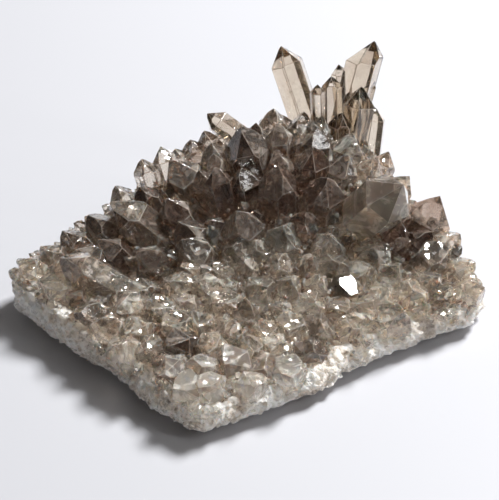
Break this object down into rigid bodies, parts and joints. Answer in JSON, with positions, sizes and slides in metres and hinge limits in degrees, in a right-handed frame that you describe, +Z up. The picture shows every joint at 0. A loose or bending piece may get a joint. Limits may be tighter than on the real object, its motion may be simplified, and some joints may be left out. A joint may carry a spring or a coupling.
{
  "type": "smoky quartz crystal cluster",
  "caption": "Natural smoky quartz cluster: a flat-bottomed plate of pale massive quartz under a crust of pointed crystals, with tall clear crystals at the back.",
  "frame": {"origin": "on the surface the plate rests on, under the middle of the cluster's box", "axes": "+Z up out of the flat seat, +X to the right and +Y to the back as the cluster is seen with its tall crystals behind"},
  "size_m": [0.1116, 0.104, 0.0444],
  "materials": {
    "milky_quartz": "satin",
    "smoky_quartz": "gloss",
    "pale_smoky_quartz": "gloss"
  },
  "bodies": {
    "root": {"quartz_plate": "milky_quartz", "double_terminated_crystal": "smoky_quartz", "dark_ridge_crystal": "smoky_quartz", "striated_left_crystal": "smoky_quartz", "lower_left_crystal": "smoky_quartz", "right_shelf_crystal": "smoky_quartz", "crown_crystals": "pale_smoky_quartz", "tall_left_crystal": "pale_smoky_quartz", "leaning_pale_crystal": "pale_smoky_quartz"}
  },
  "joints": []
}
